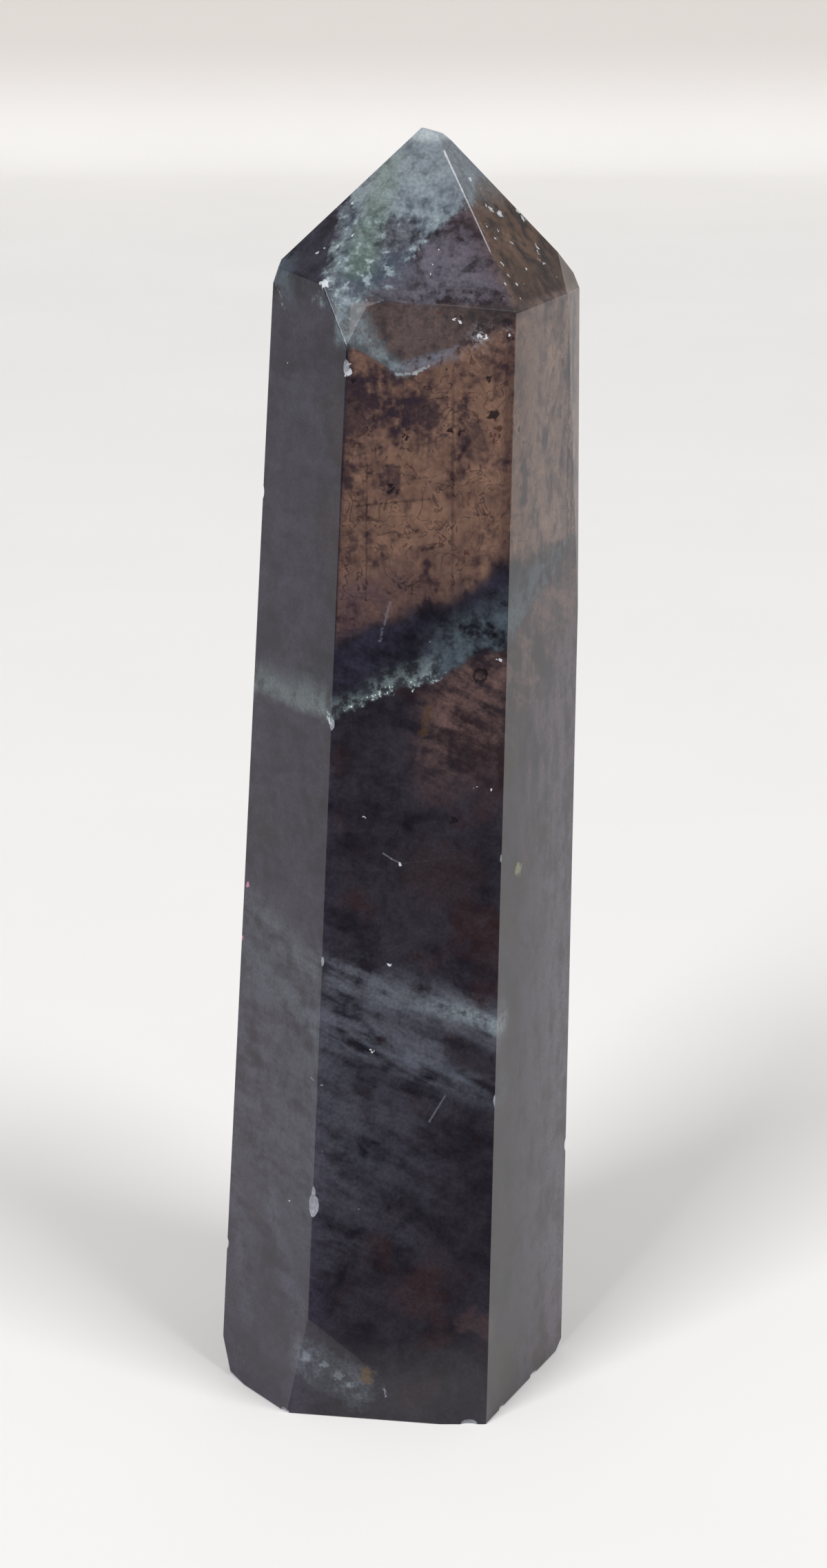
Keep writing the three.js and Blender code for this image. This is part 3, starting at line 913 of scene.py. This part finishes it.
specks = marks(DARK_SPECKS, 2.4 * crumble)
specks = g.maths("MAXIMUM", specks, flecks(0.8, 0.09, 0.35) * g.soft(clear, 0.05, 0.2))
rusty = marks(RUSTY_SPECKS, 2.4 * crumble)
# White marks: painted glints where light catches tiny cracks, placed and scattered, with some pale flecks.
placed_glints = marks(POINT_GLINTS + HOLLOW_GLINTS + BODY_GLINTS, 2.0 * crumble)
glints_and_flecks = g.maths("MAXIMUM", placed_glints, flecks(2.1, 0.07, 0.2))
glints_and_flecks = g.maths("MAXIMUM", glints_and_flecks, flecks(1.1, 0.13, 0.4) * amber_side)
colour = g.blend(0.9 * specks, colour, SPECK_BLACK)
colour = g.blend(0.8 * rusty, colour, SPECK_RUST)
colour = g.blend(0.8 * glints_and_flecks, colour, GLINT_AND_FLECK_WHITE)
report("specks and flakes")

# %% Scratches, a painted ridge highlight and odd spots
# The first white below is for a painted highlight along the right ridge of the point.
RIDGE_HIGHLIGHT_WHITE = paint(196, 196, 204)
SCRATCH_GREY = paint(134, 138, 148)
SPECK_GREEN = paint(132, 130, 98)
SPECK_PINK = paint(196, 128, 156)
RING_BLACK = paint(18, 12, 14)
GREEN_SPECK = ((7.37, 35.36, 0.46),)
PINK_SPECKS = ((-9.15, 32.96, 0.2), (-9.5, 29.48, 0.12))
RING_MIDDLE = (4.98, 48.0)
RING_RADIUS = 0.36
SCRATCHES = (
    (1.0, (-0.73, -8.66, 37.14), (-0.24, -8.67, 36.80), 0.09, 0.0),
    (1.0, (-0.24, -8.67, 36.80), (0.25, -8.68, 36.54), 0.09, 0.0),
    (0.35, (0.25, -8.68, 36.5), (2.95, -8.67, 36.8), 0.08, 0.0),
    (1.0, (-5.20, -8.38, 22.76), (-4.44, -8.98, 22.46), 0.08, 0.0),
    (0.5, (2.03, -9.02, 20.14), (2.99, -8.99, 21.80), 0.1, 0.0),
    (0.45, (-0.29, -8.29, 52.38), (-0.9, -8.36, 50.12), 0.12, 0.5),
    (1.0, (-0.81, -9.26, 2.7), (-0.65, -9.14, 1.8), 0.11, 0.5),
    (1.0, (-6.85, -1.34, 70.85), (-6.50, -2.68, 68.76), 0.12, 1.0),
)

# A painted highlight: the bright line down the right ridge of the point, where its edge catches the light.
ridge_highlight = line((2.87, -1.63, 77.65), (5.46, -5.40, 72.40), 0.1)
scratch_lines = together(
    share * line(start, end, half_width, torn * crumble) for share, start, end, half_width, torn in SCRATCHES
)
from_ring_middle = g.vectors("DISTANCE", place, on_front(*RING_MIDDLE), output="Value") + 0.3 * crumble
ring = g.near_zero(from_ring_middle - RING_RADIUS, 0.12, 0.04)
colour = g.blend(0.8 * ridge_highlight, colour, RIDGE_HIGHLIGHT_WHITE)
colour = g.blend(0.6 * scratch_lines, colour, SCRATCH_GREY)
colour = g.blend(0.7 * marks(GREEN_SPECK, 1.4 * crumble), colour, SPECK_GREEN)
colour = g.blend(0.8 * marks(PINK_SPECKS), colour, SPECK_PINK)
colour = g.blend(0.7 * ring, colour, RING_BLACK)
report("scratches and odd spots")

# %% Chips, broken tip and grain
CHIP_GREY = paint(150, 152, 162)
TIP_GREY = paint(170, 180, 184)
TIP_START = (78.0, 78.5)

chip_attribute = {"attribute_type": "GEOMETRY", "attribute_name": "chipped"}
chips = g.add("ShaderNodeAttribute", chip_attribute, output="Fac")
tip = g.soft(z, *TIP_START)
colour = g.blend(0.7 * chips, colour, CHIP_GREY)
colour = g.blend(0.6 * tip, colour, TIP_GREY)
grain_light = 0.82 + 0.36 * g.soft(crumble, -0.25, 0.25)
colour = g.add("ShaderNodeHueSaturation", None, {"Color": colour, "Value": grain_light})
solid_marks = g.maths("MAXIMUM", g.maths("MAXIMUM", glints_and_flecks, chips), g.maths("MAXIMUM", specks, rusty))
clear = clear * (1 - solid_marks)
report("chips, tip and grain")

# %% [markdown]
# ## Polish
# The facets are polished by hand: smooth enough to mirror the table, but with a trace of ripple and hairline
# scratches. Chips and the broken tip are rough. The height feeds one Bump node, which both shaders share.

# %% Polish
HAIRLINE_TURN = (0.5, 0.3, 0.2)
HAIRLINE_STRETCH = (6.0, 6.0, 0.25)
BUMP_STRENGTH = 0.25
BUMP_DEPTH = 0.1 * MM

hairline_sockets = {"Vector": place, "Rotation": HAIRLINE_TURN, "Scale": HAIRLINE_STRETCH}
hairline_place = g.add("ShaderNodeMapping", {"vector_type": "POINT"}, hairline_sockets)
hairline_scratches = g.soft(g.noise(hairline_place, 1.0, detail=2.0), 0.62, 0.72)
roughness = 0.10 + 0.06 * lumps + 0.14 * hollow + 0.35 * chips + 0.2 * tip
height = 0.5 * fine * (0.1 + chips + tip) + 0.12 * lumps - 0.05 * hairline_scratches
bump_sockets = {"Strength": BUMP_STRENGTH, "Distance": BUMP_DEPTH, "Height": height}
bump = g.add("ShaderNodeBump", None, bump_sockets)
report("polish")

# %% Shaders
GEM_IOR = 1.434
CLEAR_TINT = (1.0, 0.95, 0.9, 1)
ABSORB_COLOUR = (0.5, 0.28, 0.12, 1)
ABSORB_PER_METRE = 126.0

polish = {"Roughness": roughness, "IOR": GEM_IOR, "Normal": bump}
cloudy = g.add("ShaderNodeBsdfPrincipled", None, {"Base Color": colour, **polish})
glass = {"Base Color": CLEAR_TINT, "Transmission Weight": 1.0, **polish}
see_through = g.add("ShaderNodeBsdfPrincipled", None, glass)
surface = g.add("ShaderNodeMixShader", None, {0: clear, 1: cloudy, 2: see_through})
filling = {"Color": ABSORB_COLOUR, "Density": ABSORB_PER_METRE}
depth = g.add("ShaderNodeVolumeAbsorption", None, filling)
g.add("ShaderNodeOutputMaterial", None, {"Surface": surface, "Volume": depth})
stone.data.materials.append(fluorite_material)
report("finished material")
